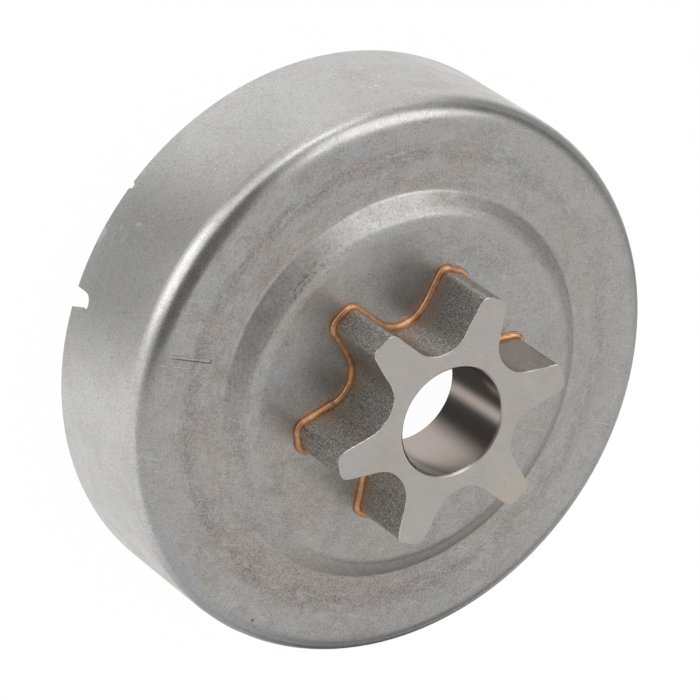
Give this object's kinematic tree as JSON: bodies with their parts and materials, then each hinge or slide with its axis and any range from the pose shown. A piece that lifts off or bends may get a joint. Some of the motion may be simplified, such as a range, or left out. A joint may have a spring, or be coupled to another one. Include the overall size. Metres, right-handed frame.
{
  "type": "chainsaw sprocket",
  "caption": "Chainsaw clutch drum: a pressed steel cup with a notched rim and a stepped web, with a spur sprocket brazed to the web and a plain bore through both.",
  "frame": {"origin": "middle of the drum's open rim, in the plane of the rim's edge, which the part stands on", "axes": "+Z along the axis from the open rim to the sprocket's end face; +X through the middle of one tooth"},
  "size_m": [0.0678, 0.0678, 0.0291],
  "materials": {
    "drum_steel": "satin, faint heat tint",
    "sprocket_steel": "ground end face, grainy flanks",
    "braze_copper": "bright, slightly uneven"
  },
  "bodies": {
    "root": {"clutch_drum": "drum_steel", "spur_sprocket": "sprocket_steel", "braze_bead": "braze_copper"}
  },
  "joints": []
}
